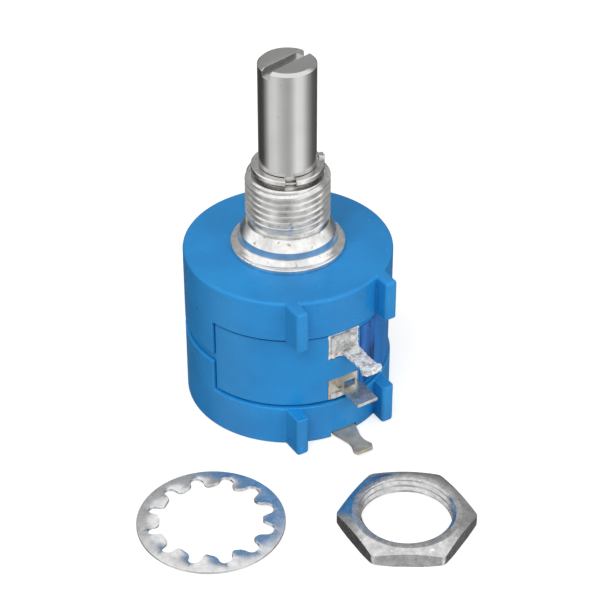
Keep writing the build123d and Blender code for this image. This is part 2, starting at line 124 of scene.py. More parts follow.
class TerminalSizes(bpy.types.PropertyGroup):
    plate_left: size("Plate, left side", -1.6, "Left side of both plates")
    plate_right: size("Plate, right side", 2.0, "Right side of both plates")
    plate_inner: size("Plate floor", 10.35, "Inner face of a plate from the axis")
    metal: size("Metal", 0.4, "Thickness of the sheet")
    front_low: size("Front plate, low side", 10.3, "Lower edge of the front plate")
    front_high: size("Front plate, high side", 13.35, "Upper edge of the front plate")
    rear_low: size("Rear plate, low side", 5.05, "Lower edge of the rear plate")
    rear_high: size("Rear plate, high side", 7.6, "Upper edge of the rear plate")
    lug_middle: size("Lug middle", 1.0, "Middle of the two side lugs along X")
    front_lug_top: size("Front lug top", 11.0, "Upper face of the front lug")
    rear_lug_top: size("Rear lug top", 6.25, "Upper face of the rear lug")
    wiper_middle: size("Wiper lug middle", 0.25, "Middle of the wiper lug along X")
    wiper_floor: size("Wiper strip floor", 0.35, "Lower face of the wiper strip")


class BushingSizes(bpy.types.PropertyGroup):
    flange_radius: size("Flange radius", 6.05, "Flange on the front face")
    flange_top: size("Flange top", 18.85, "Upper face of the flange")
    collar_radius: size("Collar radius", 5.08, "Plain collar")
    collar_fillet: size("Collar fillet", 0.75, "Hollow between flange and collar")
    collar_top: size("Collar top", 20.3, "Upper end of the collar")
    cone_radius: size("Cone radius", 4.4, "Upper end of the cone")
    cone_top: size("Cone top", 21.5, "Where the thread starts")
    thread_radius: size("Thread radius", 4.45, "Outer radius of the thread")
    thread_root: size("Thread root radius", 4.044, "Radius at the bottom of the thread")
    thread_pitch: size("Thread pitch", 0.75, "Rise of one turn")
    thread_top: size("Thread top", 26.8, "Where the thread ends")
    bushing_top: size("Bushing top", 27.2, "Upper face of the bushing")
    lip_low: size("Inner lip", 16.2, "Lower face of the lip inside the cap")


class ShaftSizes(bpy.types.PropertyGroup):
    shaft_radius: size("Shaft radius", 3.0, "Plain shaft")
    shaft_low: size("Shaft, low end", 2.6, "Inner end of the shaft")
    shaft_top: size("Shaft, top end", 40.0, "Outer end of the shaft")
    shaft_chamfer: size("Shaft chamfer", 0.3, "Chamfer at both ends")
    slot_width: size("Slot width", 1.1, "Screwdriver slot")
    slot_depth: size("Slot depth", 0.9, "Screwdriver slot")
    slot_angle: turn("Slot angle", 14.0, "Turn of the slot about the shaft")
    clip_low: size("Clip, low side", 27.6, "Lower face of the clip")
    clip_high: size("Clip, high side", 28.2, "Upper face of the clip")
    clip_radius: size("Clip radius", 3.8, "Outer radius of the clip")
    groove_radius: size("Groove radius", 2.5, "Bottom of the clip's groove")
    clip_opening: size("Clip opening", 1.15, "Width of the clip's gap")
    clip_turn: turn("Clip turn", -26.0, "Turn of the clip's gap from the lugs' side")
    ear_turn: turn("Ear turn", -12.0, "Turn of the clip's ear about the shaft")


class HardwareSizes(bpy.types.PropertyGroup):
    nut_x: size("Nut X", -2.1, "Middle of the loose nut")
    nut_y: size("Nut Y", -26.48, "Middle of the loose nut")
    nut_turn: turn("Nut turn", 27.6, "Turn of the nut's first corner from X")
    nut_flat: size("Nut flat", 6.2, "Distance of a flat from the nut's axis")
    nut_thickness: size("Nut thickness", 1.9, "Height of the nut")
    nut_face: size("Nut face radius", 5.55, "Round upper face inside the bevelled corners")
    nut_seat: size("Nut seat radius", 6.35, "Round lower face")
    nut_rise: size("Nut bevel rise", 0.62, "Height of an upper corner's bevel")
    nut_corner: size("Nut corner", 0.34, "Rounding of the six corners")
    nut_minor: size("Nut hole radius", 4.6, "Crests of the nut's thread")
    nut_major: size("Nut thread radius", 4.86, "Roots of the nut's thread")
    nut_mouth: size("Nut mouth radius", 4.95, "Chamfer at both ends of the hole")
    washer_x: size("Washer X", -18.83, "Middle of the lock washer")
    washer_y: size("Washer Y", -16.05, "Middle of the lock washer")
    washer_radius: size("Washer radius", 7.54, "Outer radius of the lock washer")
    washer_valley: size("Washer valley radius", 6.55, "Where the teeth start")
    washer_tip: size("Washer tip radius", 5.25, "Where the teeth end")
    washer_metal: size("Washer metal", 0.3, "Thickness of the lock washer")
    washer_teeth: IntProperty(
        name="Washer teeth", description="Teeth of the lock washer", default=12, min=6, max=24
    )
    valley_width: size("Valley width", 1.36, "Round-bottomed gap between two teeth")
    tip_round: size("Tooth tip round", 0.62, "Rounding of a tooth's corners")
    washer_middle: size("Washer height", 0.37, "Middle of the washer's sheet above the table")
    washer_dish: size("Washer dish", 0.1, "How far the outer edge lies below the sheet's middle")
    tooth_twist: turn("Tooth twist", 20.0, "Twist of a tooth about its own length")


class FinishColours(bpy.types.PropertyGroup):
    blue: tint("Blue moulding", 0.016, 0.262, 0.630, "Both caps and the barrel")
    blue_deep: tint("Blue moulding, deep", 0.012, 0.215, 0.540, "Darker parts of the moulding")
    nickel: tint("Nickel", 0.84, 0.835, 0.82, "Plated bushing")
    steel: tint("Shaft steel", 0.64, 0.64, 0.63, "Shaft")
    grey_steel: tint("Grey steel", 0.58, 0.58, 0.58, "Nut, lock washer and clip")
    brass: tint("Brass", 0.60, 0.42, 0.18, "Inner metal parts")
    sealant: tint("Sealant", 0.008, 0.068, 0.235, "Sealant beside the plates")


class StageSettings(bpy.types.PropertyGroup):
    camera_place: FloatVectorProperty(
        name="Camera", description="Place of the camera", subtype="TRANSLATION",
        unit="LENGTH", default=(-0.08782, -0.14616, 0.13354), precision=5,
    )
    camera_aim: FloatVectorProperty(
        name="Aim", description="Direction in which the camera looks", subtype="DIRECTION",
        default=(0.4232, 0.6926, -0.5841),
    )
    lens: FloatProperty(name="Lens", description="Focal length in millimetres", default=117.25)
    floor_grey: FloatProperty(name="Floor grey", description="Colour of the floor", default=0.55)
    floor_shown: FloatProperty(
        name="Floor shown", description="What the camera alone sees on top of it", default=0.64
    )
    world_light: FloatProperty(
        name="World light", description="The world's even light on the object", default=0.36
    )
    key_power: FloatProperty(name="Key lamp", description="Power in watts", default=1.4)
    fill_power: FloatProperty(name="Fill lamp", description="Power in watts", default=0.75)


GROUPS = {
    "pot_housing": HousingSizes,
    "pot_terminals": TerminalSizes,
    "pot_bushing": BushingSizes,
    "pot_shaft": ShaftSizes,
    "pot_hardware": HardwareSizes,
    "pot_colours": FinishColours,
    "pot_stage": StageSettings,
}


def sizes_of(context, group):
    """The group's values, with its lengths in millimetres and its angles in radians."""
    settings = getattr(context.scene, group)
    found = {}
    for key, field in settings.bl_rna.properties.items():
        if key in ("rna_type", "name"):
            continue
        value = getattr(settings, key)
        found[key] = value / MM if field.unit == "LENGTH" else value
    return SimpleNamespace(**found)


# Modelling steps


def deselect():
    if bpy.context.mode != "OBJECT":
        bpy.ops.object.mode_set(mode="OBJECT")
    bpy.ops.object.select_all(action="DESELECT")


def only(piece):
    deselect()
    piece.select_set(True)
    bpy.context.view_layer.objects.active = piece


def settle(piece):
    """The object goes to the origin, and its place stays in its mesh."""
    only(piece)
    bpy.ops.object.transform_apply(location=True, rotation=True, scale=True)


def named(name):
    piece = bpy.context.object
    piece.name = name
    piece.data.name = name
    settle(piece)
    return piece


def block(name, s, u, z, turned_by=0.0):
    """Box between two values of X, of the reach towards the lugs and of Z."""
    deselect()
    bpy.ops.mesh.primitive_cube_add(
        size=1,
        location=((s[0] + s[1]) / 2 * MM, -(u[0] + u[1]) / 2 * MM, (z[0] + z[1]) / 2 * MM),
        rotation=(0, 0, turned_by),
        scale=((s[1] - s[0]) * MM, (u[1] - u[0]) * MM, (z[1] - z[0]) * MM),
    )
    return named(name)


def cylinder(name, radius, z, sides=METAL_STEPS, turned_by=0.0):
    deselect()
    bpy.ops.mesh.primitive_cylinder_add(
        vertices=sides, radius=radius * MM, depth=(z[1] - z[0]) * MM,
        location=(0, 0, (z[0] + z[1]) / 2 * MM), rotation=(0, 0, turned_by),
    )
    return named(name)


def edit(piece):
    """Edit mode, with everything selected."""
    only(piece)
    bpy.ops.object.mode_set(mode="EDIT")
    bpy.ops.mesh.select_all(action="SELECT")


def pick(piece, test):
    """Edit mode, with only the edges selected that pass the test, which gets their middle in mm."""
    only(piece)
    bpy.ops.object.mode_set(mode="EDIT")
    bpy.ops.mesh.select_mode(type="EDGE")
    bpy.ops.mesh.select_all(action="DESELECT")
    mesh = bmesh.from_edit_mesh(piece.data)
    found = 0
    for edge in mesh.edges:
        if test((edge.verts[0].co + edge.verts[1].co) / 2 / MM, edge):
            edge.select_set(True)
            found += 1
    bmesh.update_edit_mesh(piece.data)
    if not found:
        raise RuntimeError(f"no edge was selected on {piece.name}")


def done():
    bpy.ops.object.mode_set(mode="OBJECT")


def outwards():
    """Turns the normals outwards and leaves edit mode."""
    bpy.ops.mesh.select_all(action="SELECT")
    bpy.ops.mesh.normals_make_consistent(inside=False)
    done()


def bevel(width, segments):
    """Rounds the selected edges and leaves edit mode."""
    bpy.ops.mesh.bevel(offset=width * MM, segments=segments, affect="EDGES")
    done()


def moved(piece, by):
    piece.location = by
    settle(piece)


def spun(piece, angle):
    piece.rotation_euler.z = angle
    settle(piece)


def copied(piece, angle):
    """Copy with its own mesh, turned about the axis."""
    only(piece)
    bpy.ops.object.duplicate()
    copy = bpy.context.object
    spun(copy, angle)
    return copy


def modify(piece, kind, **settings):
    only(piece)
    bpy.ops.object.modifier_add(type=kind)
    modifier = piece.modifiers[-1]
    for key, value in settings.items():
        setattr(modifier, key, value)
    bpy.ops.object.modifier_apply(modifier=modifier.name)


def combine(piece, other, operation):
    modify(piece, "BOOLEAN", operation=operation, solver="EXACT", object=other)
    bpy.data.objects.remove(other)
    if not piece.data.polygons:
        raise RuntimeError(f"nothing is left of {piece.name}")
    return piece


def cut(piece, tool):
    return combine(piece, tool, "DIFFERENCE")


def add(piece, other):
    return combine(piece, other, "UNION")


def ease(piece, width, segments=2, angle=35):
    """Rounds the sharp edges of the whole piece."""
    modify(
        piece, "BEVEL", width=width * MM, segments=segments,
        limit_method="ANGLE", angle_limit=math.radians(angle), miter_outer="MITER_ARC",
    )


def smooth(piece, angle=32):
    only(piece)
    bpy.ops.object.shade_smooth_by_angle(angle=math.radians(angle))
    modify(piece, "WEIGHTED_NORMAL", keep_sharp=True, weight=80)


def rounded(points, steps=4):
    """Outline with an arc at each (x, z, radius) corner."""
    outline = []
    for index, point in enumerate(points):
        corner = Vector(point[:2])
        if len(point) == 2:
            outline.append(tuple(corner))
            continue
        before = (Vector(points[index - 1][:2]) - corner).normalized()
        after = (Vector(points[(index + 1) % len(points)][:2]) - corner).normalized()
        half = before.angle(after) / 2
        start = before * point[2] / math.tan(half)
        end = after * point[2] / math.tan(half)
        middle = (before + after).normalized() * point[2] / math.sin(half)
        spread = (start - middle).angle_signed(end - middle)
        for step in range(steps + 1):
            share = spread * step / steps
            arm = start - middle
            outline.append((
                corner.x + middle.x + arm.x * math.cos(share) + arm.y * math.sin(share),
                corner.y + middle.y - arm.x * math.sin(share) + arm.y * math.cos(share),
            ))
    return outline


def drawn(name, outline):
    """Closed chain of edges in the XZ plane: one vertex, extruded from point to point."""
    deselect()
    bpy.ops.mesh.primitive_plane_add(size=MM, location=(outline[0][0] * MM, 0, outline[0][1] * MM))
    piece = named(name)
    bpy.ops.object.mode_set(mode="EDIT")
    bpy.ops.mesh.select_mode(type="VERT")
    bpy.ops.mesh.select_all(action="SELECT")
    bpy.ops.mesh.merge(type="CENTER")
    for (x0, z0), (x1, z1) in zip(outline, outline[1:]):
        bpy.ops.mesh.extrude_vertices_move(
            TRANSFORM_OT_translate={"value": ((x1 - x0) * MM, 0, (z1 - z0) * MM)}
        )
    mesh = bmesh.from_edit_mesh(piece.data)
    mesh.verts.ensure_lookup_table()
    for end in [vert for vert in mesh.verts if len(vert.link_edges) == 1]:
        end.select_set(True)
    bmesh.update_edit_mesh(piece.data)
    bpy.ops.mesh.edge_face_add()
    return piece


def turned(name, points, steps=METAL_STEPS, start=0.0, sweep=None):
    """Solid turned about Z from a closed outline, all round or over a part of the turn."""
    piece = drawn(name, rounded(points))
    bpy.ops.mesh.select_all(action="SELECT")
    bpy.ops.mesh.spin(
        steps=steps, angle=-(sweep or 2 * math.pi), center=(0, 0, 0), axis=(0, 0, 1)
    )
    bpy.ops.mesh.select_all(action="SELECT")
    bpy.ops.mesh.remove_doubles(threshold=MERGE)
    if sweep:
        bpy.ops.mesh.fill_holes(sides=0)
    outwards()
    spun(piece, start)
    return piece


def prism(name, outline, low, high):
    """Solid with the outline of X and of the reach towards the lugs, from low to high."""
    piece = drawn(name, rounded(outline))
    bpy.ops.mesh.select_all(action="SELECT")
    bpy.ops.mesh.extrude_region_move(TRANSFORM_OT_translate={"value": (0, (high - low) * MM, 0)})
    outwards()
    piece.rotation_euler.x = math.pi / 2
    piece.location.z = low * MM
    settle(piece)
    return piece


def thread_tool(name, crest, root, pitch, low, high):
    """Helical V groove as a cutter. It runs from low to high, on a screw or in a nut."""
    over = PLAY
    crest_half = 0.4375 * pitch
    root_half = 0.125 * pitch
    slope = (crest_half - root_half) / abs(crest - root)
    wide = crest + over if crest > root else crest - over
    wide_half = crest_half + over * slope
    piece = drawn(name, [
        (wide, low - wide_half), (wide, low + wide_half),
        (root, low + root_half), (root, low - root_half),
    ])
    done()
    turns = math.ceil((high - low) / pitch)
    modify(
        piece, "SCREW", steps=THREAD_STEPS, render_steps=THREAD_STEPS, screw_offset=pitch * MM,
        iterations=turns, use_merge_vertices=True, merge_threshold=MERGE,
    )
    edit(piece)
    bpy.ops.mesh.fill_holes(sides=4)
    outwards()
    return piece


def strip(name, middle, floor, thickness, stations):
    """Flat sheet drawn from station to station, each (reach, half width), and then made thick."""
    (u0, width), (reach, _) = stations[:2]
    deselect()
    bpy.ops.mesh.primitive_plane_add(
        size=1, location=(middle * MM, -(u0 + reach) / 2 * MM, floor * MM),
    )
    piece = bpy.context.object
    piece.scale = (2 * width * MM, (reach - u0) * MM, 1)
    piece = named(name)
    pick(piece, lambda place, item: abs(place.y + stations[1][0]) < NEAR)
    for u, w in stations[1:]:
        if u != reach:
            bpy.ops.mesh.extrude_region_move(
                TRANSFORM_OT_translate={"value": (0, -(u - reach) * MM, 0)}
            )
        bpy.ops.transform.resize(
            value=(w / width, 1, 1), center_override=(middle * MM, -u * MM, floor * MM)
        )
        width = w
        reach = u
    outwards()
    modify(piece, "SOLIDIFY", thickness=thickness * MM, offset=1.0)
    only(piece)
    low = min(vert.co.z for vert in piece.data.vertices)
    moved(piece, (0, 0, floor * MM - low))
    return piece


def lumps(piece, name, grain, strength):
    """Uneven surface from a cloud pattern."""
    clouds = bpy.data.textures.new(name, "CLOUDS")
    clouds.noise_scale = grain * MM
    clouds.noise_depth = 2
    modify(
        piece, "DISPLACE", texture=clouds, texture_coords="LOCAL", direction="NORMAL",
        strength=strength * MM, mid_level=0.5,
    )
    bpy.data.textures.remove(clouds)


def seat(piece, body, material, nodes):
    """The finished piece rides on its body, in the place of its CAD nodes."""
    piece.data.materials.clear()
    piece.data.materials.append(material)
    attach(piece, body)
    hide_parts(*nodes)


# Finishes


def node(tree, kind, inputs=None, **settings):
    made = tree.nodes.new("ShaderNode" + kind)
    for key, value in settings.items():
        setattr(made, key, value)
    for key, value in (inputs or {}).items():
        if isinstance(value, bpy.types.NodeSocket):
            tree.links.new(value, made.inputs[key])
        else:
            made.inputs[key].default_value = value
    return made


def calc(tree, operation, first, second=0.0):
    return node(tree, "Math", {0: first, 1: second}, operation=operation).outputs[0]


def dot(tree, first, second):
    return node(tree, "VectorMath", {0: first, 1: second}, operation="DOT_PRODUCT").outputs["Value"]


def place_on(tree):
    return node(tree, "TexCoord").outputs["Object"]


def noise(tree, scale, detail=4.0, stretch=(1, 1, 1), middle=(0, 0, 0)):
    mapped = node(tree, "Mapping", {"Vector": place_on(tree), "Location": middle, "Scale": stretch})
    return node(
        tree, "TexNoise", {"Vector": mapped.outputs["Vector"], "Scale": scale, "Detail": detail}
    ).outputs["Fac"]


def ranged(tree, value, low, high, to_low=0.0, to_high=1.0):
    return node(
        tree, "MapRange",
        {"Value": value, "From Min": low, "From Max": high, "To Min": to_low, "To Max": to_high},
    ).outputs["Result"]


def mixed(tree, share, first, second):
    made = node(tree, "Mix", data_type="RGBA")
    tree.links.new(share, made.inputs[0])
    for socket, value in ((6, first), (7, second)):
        if isinstance(value, bpy.types.NodeSocket):
            tree.links.new(value, made.inputs[socket])
        else:
            made.inputs[socket].default_value = (*value, 1)
    return made.outputs[2]


def shade(colour, level):
    return tuple(channel * level for channel in colour)


def recolour(tree, share, colour):
    """Lays a colour over the material's own, as far as the share says."""
    base = tree.nodes["Principled BSDF"].inputs["Base Color"]
    tree.links.new(mixed(tree, share, base.links[0].from_socket, colour), base)


def emboss(tree, height, strength, distance):
    """Bump from a height, as the material's normal."""
    raised = node(tree, "Bump", {"Height": height, "Strength": strength, "Distance": distance * MM})
    tree.links.new(raised.outputs["Normal"], tree.nodes["Principled BSDF"].inputs["Normal"])


def finish(
    name, light, dark, metallic=0.0, rough=(0.3, 0.4), patch=300.0, stretch=(1, 1, 1),
    bump=(3000.0, 0.1, 0.01), spots=None, gloss=0.5, sharp=(0.35, 0.65),
):
    """Principled material: colour patches, uneven roughness, bump, and spots where asked."""
    material = bpy.data.materials.new(name)
    material.use_nodes = True
    tree = material.node_tree
    shader = tree.nodes["Principled BSDF"]
    shader.inputs["Metallic"].default_value = metallic
    shader.inputs["Specular IOR Level"].default_value = gloss
    pattern = noise(tree, patch, 5.0, stretch)
    colour = mixed(tree, ranged(tree, pattern, *sharp), dark, light)
    fine = noise(tree, patch * 4, 4.0, stretch, (0.013, 0.007, 0.003))
    roughness = ranged(tree, fine, 0.3, 0.7, *rough)
    if spots:
        spot_colour, spot_scale, spot_from, spot_to = spots
        specks = noise(tree, spot_scale, 3.0, (1, 1, 1), (0.05, 0.02, 0.01))
        colour = mixed(tree, ranged(tree, specks, spot_from, spot_to), colour, spot_colour)
    tree.links.new(colour, shader.inputs["Base Color"])
    tree.links.new(roughness, shader.inputs["Roughness"])
    bump_scale, bump_strength, bump_height = bump
    emboss(tree, noise(tree, bump_scale, 3.0, stretch), bump_strength, bump_height)
    return material


# Pieces

BLUE = {"rough": (0.26, 0.4), "patch": 160.0, "bump": (2600.0, 0.12, 0.012), "gloss": 0.35}


class POT_OT_caps(bpy.types.Operator):
    """Moulds the front and rear cap with their windows, ribs and openings"""

    bl_idname = "pot.caps"
    bl_label = "Caps"

    def execute(self, context):
        h = sizes_of(context, "pot_housing")
        t = sizes_of(context, "pot_terminals")
        outer = h.body_radius
        inner = outer - h.skirt_wall
        material = blue_moulding(context)
        for front in (True, False):
            name = "front_cap_moulding" if front else "rear_cap_moulding"
            end = h.body_length if front else 0.0
            inward = -1 if front else 1
            wall = end + inward * (h.front_wall if front else h.rear_wall)
            skirt = h.seam_high if front else h.seam_low
            edge = h.window_high if front else h.window_low
            hole = NECK_RADIUS if front else RIVET_HOLE
            cap = turned(name, [
                (hole, end), (outer, end, h.edge_round), (outer, skirt, 0.12),
                (inner, skirt), (inner, wall), (hole, wall),
            ], CAP_STEPS)
            low, high = sorted((edge, skirt + inward * 1.0))
            tool = turned("window_tool", [
                (inner - PROUD, low), (outer + PROUD, low),
                (outer + PROUD, high), (inner - PROUD, high),
            ], WINDOW_STEPS, LUG_SIDE - WINDOW_REACH, 2 * WINDOW_REACH)
            cut(cap, tool)
            pick(cap, lambda place, item: (
                all(abs(vert.co.z / MM - edge) < NEAR for vert in item.verts)
                and math.hypot(place.x, place.y) > outer - 2 * NEAR
                and item.calc_length() < 0.5 * MM
            ))
            bevel(0.09, 3)
            face = end + inward * 0.004
            root_end = edge - inward * 0.03
            for middle in (-h.rib_offset, h.rib_offset):
                side = (middle - h.rib_width / 2, middle + h.rib_width / 2)
                rib = block("rib", side, (h.rib_root, h.rib_reach), sorted((root_end, face)))
                pick(rib, lambda place, item: (
                    place.y < -h.rib_reach + NEAR and abs(place.x - middle) > 0.1
                    or abs(place.z - face) < NEAR and place.y < -h.rib_root - NEAR
                ))
                bevel(h.rib_round, 5)
                pick(rib, lambda place, item: (
                    abs(place.z - root_end) < NEAR and place.y < -h.rib_root - NEAR
                ))
                bevel(0.08, 3)
                add(cap, rib)
            if not front:
                # The wiper strip's channel and eye, and its wider way out through the rim
                strip_half, eye, notch_half, notch_top = 1.45, 2.0, 1.6, 0.85
                middle = t.wiper_middle
                top = t.wiper_floor + t.metal
                reach = outer + PROUD
                side = (middle - strip_half, middle + strip_half)
                cut(cap, block("channel_tool", side, (0, reach), (-PROUD, top)))
                cut(cap, cylinder("eye_tool", eye, (-PROUD, top), 64))
                side = (middle - notch_half, middle + notch_half)
                cut(cap, block("notch_tool", side, (inner, reach), (-PROUD, notch_top)))
            smooth(cap)
            seat(cap, "housing", material, ["front_cap" if front else "rear_cap"])
        return {"FINISHED"}


def painted_edge_highlight(tree, width, colour):
    """Painted highlight: a lighter colour where the surface turns a corner, broken up by noise."""
    level = node(tree, "NewGeometry").outputs["Normal"]
    eased = node(tree, "Bevel", {"Radius": width * MM}, samples=4).outputs["Normal"]
    corner = ranged(tree, dot(tree, level, eased), 0.99, 0.85, 0.0, 0.55)
    grain = ranged(tree, noise(tree, 700.0, 3.0), 0.3, 0.6, 0.3, 1.0)
    recolour(tree, calc(tree, "MULTIPLY", corner, grain), colour)


def blue_moulding(context):
    c = context.scene.pot_colours
    spots = (shade(c.blue, 1.35), 2600.0, 0.66, 0.78)
    material = finish("moulded_blue", c.blue, c.blue_deep, spots=spots, **BLUE)
    # Light blue of the painted highlight along the edges
    painted_edge_highlight(material.node_tree, 0.22, (0.11, 0.46, 0.84))
    return material


def smeared_blue(context):
    """The moulding's blue, with dark upright streaks of sealant to the right of the plates."""
    c = context.scene.pot_colours
    material = finish("smeared_blue", c.blue, c.blue_deep, **BLUE)
    tree = material.node_tree
    parted = node(tree, "SeparateXYZ", {"Vector": place_on(tree)}).outputs
    side = calc(tree, "ARCTAN2", parted["X"], calc(tree, "MULTIPLY", parted["Y"], -1.0))
    smear = ranged(tree, side, math.radians(22), math.radians(27))
    streaks = ranged(tree, noise(tree, 900.0, 4.0, (1, 1, 0.12)), 0.35, 0.62, 0.15, 0.8)
    recolour(tree, calc(tree, "MULTIPLY", smear, streaks), shade(c.sealant, 2.2))
    return material


class POT_OT_barrel(bpy.types.Operator):
    """Moulds the barrel with its window pad, seam ring and pockets for the plates"""

    bl_idname = "pot.barrel"
    bl_label = "Barrel"

    def execute(self, context):
        h = sizes_of(context, "pot_housing")
        t = sizes_of(context, "pot_terminals")
        low = h.rear_wall
        high = h.body_length - h.front_wall - PLAY
        ring_low = h.seam_low + h.seam_line
        ring_high = h.seam_high - h.seam_line
        barrel = turned("barrel_moulding", [
            (h.barrel_bore, low), (h.barrel_radius, low), (h.barrel_radius, ring_low),
            (h.seam_radius, ring_low, 0.08), (h.seam_radius, ring_high, 0.08),
            (h.barrel_radius, ring_high), (h.barrel_radius, high), (h.barrel_bore, high),
        ], CAP_STEPS)
        root = h.barrel_bore + 0.6
        pad_low = h.window_low + h.pad_line
        pad_high = h.window_high - h.pad_line
        add(barrel, turned("pad", [
            (root, pad_low), (h.pad_radius, pad_low, 0.07),
            (h.pad_radius, pad_high, 0.07), (root, pad_high),
        ], PAD_STEPS, LUG_SIDE - PAD_REACH, 2 * PAD_REACH))
        side = (t.plate_left - PLAY, t.plate_right + PLAY)
        for span in ((t.front_low - PLAY, h.window_high), (h.window_low, t.rear_high + PLAY)):
            cut(barrel, block("pocket_tool", side, (t.plate_inner, 12), span))
        smooth(barrel)
        seat(barrel, "housing", smeared_blue(context), ["barrel"])
        return {"FINISHED"}


class POT_OT_bushing(bpy.types.Operator):
    """Turns the plated bushing and cuts its thread"""

    bl_idname = "pot.bushing"
    bl_label = "Bushing"

    def execute(self, context):
        h = sizes_of(context, "pot_housing")
        b = sizes_of(context, "pot_bushing")
        s = sizes_of(context, "pot_shaft")
        c = context.scene.pot_colours
        bore = s.shaft_radius + 0.025
        wall = h.body_length - h.front_wall
        relief = b.thread_root - 0.06
        bushing = turned("bushing_turned", [
            (bore, b.lip_low), (LIP_RADIUS, b.lip_low), (LIP_RADIUS, wall), (NECK_RADIUS, wall),
            (NECK_RADIUS, h.body_length),
            (b.flange_radius, h.body_length, 0.08), (b.flange_radius, b.flange_top, 0.14),
            (b.collar_radius, b.flange_top, b.collar_fillet), (b.collar_radius, b.collar_top, 0.08),
            (b.cone_radius, b.cone_top, 0.06), (relief, b.cone_top, 0.05),
            (relief, b.cone_top + 0.4, 0.05), (b.thread_radius, b.cone_top + 0.65),
            (b.thread_radius, b.thread_top, 0.12), (b.thread_radius - 0.4, b.bushing_top, 0.12),
            (bore + 0.25, b.bushing_top, 0.06), (bore, b.bushing_top - 0.25),
        ])
        cut(bushing, thread_tool(
            "thread_tool", b.thread_radius, b.thread_root, b.thread_pitch,
            b.cone_top + 0.42, b.thread_top + 0.35,
        ))
        smooth(bushing, 28)
        material = finish(
            "bright_nickel", c.nickel, shade(c.nickel, 0.72), 0.9, (0.07, 0.2), 700.0,
            bump=(1000.0, 0.3, 0.022), spots=((0.30, 0.28, 0.26), 1300.0, 0.64, 0.74),
        )
        seat(bushing, "housing", material, ["threaded_bushing"])
        return {"FINISHED"}


class POT_OT_shaft(bpy.types.Operator):
    """Turns the shaft, mills its slot and makes the clip in its groove, with its gap and ear"""

    bl_idname = "pot.shaft"
    bl_label = "Shaft and clip"

    def execute(self, context):
        s = sizes_of(context, "pot_shaft")
        c = context.scene.pot_colours
        end = s.shaft_radius - s.shaft_chamfer
        groove_low = s.clip_low - PLAY
        groove_high = s.clip_high + PLAY
        shaft = turned("shaft_turned", [
            (0.0, s.shaft_low), (end, s.shaft_low), (s.shaft_radius, s.shaft_low + s.shaft_chamfer),
            (s.shaft_radius, groove_low, 0.04), (s.groove_radius, groove_low),
            (s.groove_radius, groove_high), (s.shaft_radius, groove_high, 0.04),
            (s.shaft_radius, s.shaft_top - s.shaft_chamfer), (end, s.shaft_top), (0.0, s.shaft_top),
        ])
        tool = block(
            "slot_tool", (-5, 5), (-s.slot_width / 2, s.slot_width / 2),
            (s.shaft_top - s.slot_depth, s.shaft_top + PROUD), s.slot_angle,
        )
        cut(shaft, tool)
        ease(shaft, 0.05)
        smooth(shaft)
        steel = finish(
            "turned_steel", c.steel, shade(c.steel, 0.94), 1.0, (0.14, 0.22), 220.0,
            bump=(900.0, 0.03, 0.003), spots=((0.34, 0.32, 0.30), 1500.0, 0.71, 0.78),
        )
        seat(shaft, "rotor", steel, ["shaft"])
        inner = s.groove_radius + PLAY
        corner = 0.13
        clip = turned("retaining_clip_bent", [
            (inner, s.clip_low, corner), (s.clip_radius, s.clip_low, corner),
            (s.clip_radius, s.clip_high, corner), (inner, s.clip_high, corner),
        ])
        half = s.clip_opening / 2
        tool = block("gap_tool", (-half, half), (0, 6), (s.clip_low - PROUD, s.clip_high + PROUD))
        spun(tool, s.clip_turn)
        cut(clip, tool)
        ear = block("ear", (3.3, 3.95), (-0.4, 0.4), (s.clip_low + 0.08, s.clip_high + 0.25))
        spun(ear, s.ear_turn)
        add(clip, ear)
        ease(clip, 0.05, angle=50)
        smooth(clip, 40)
        spring = finish(
            "clip_steel", (0.80, 0.79, 0.77), (0.58, 0.57, 0.55), 1.0, (0.12, 0.28), 700.0,
            bump=(1200.0, 0.25, 0.02), spots=((0.90, 0.90, 0.89), 2200.0, 0.62, 0.75),
        )
        seat(clip, "rotor", spring, ["retaining_clip"])
        return {"FINISHED"}


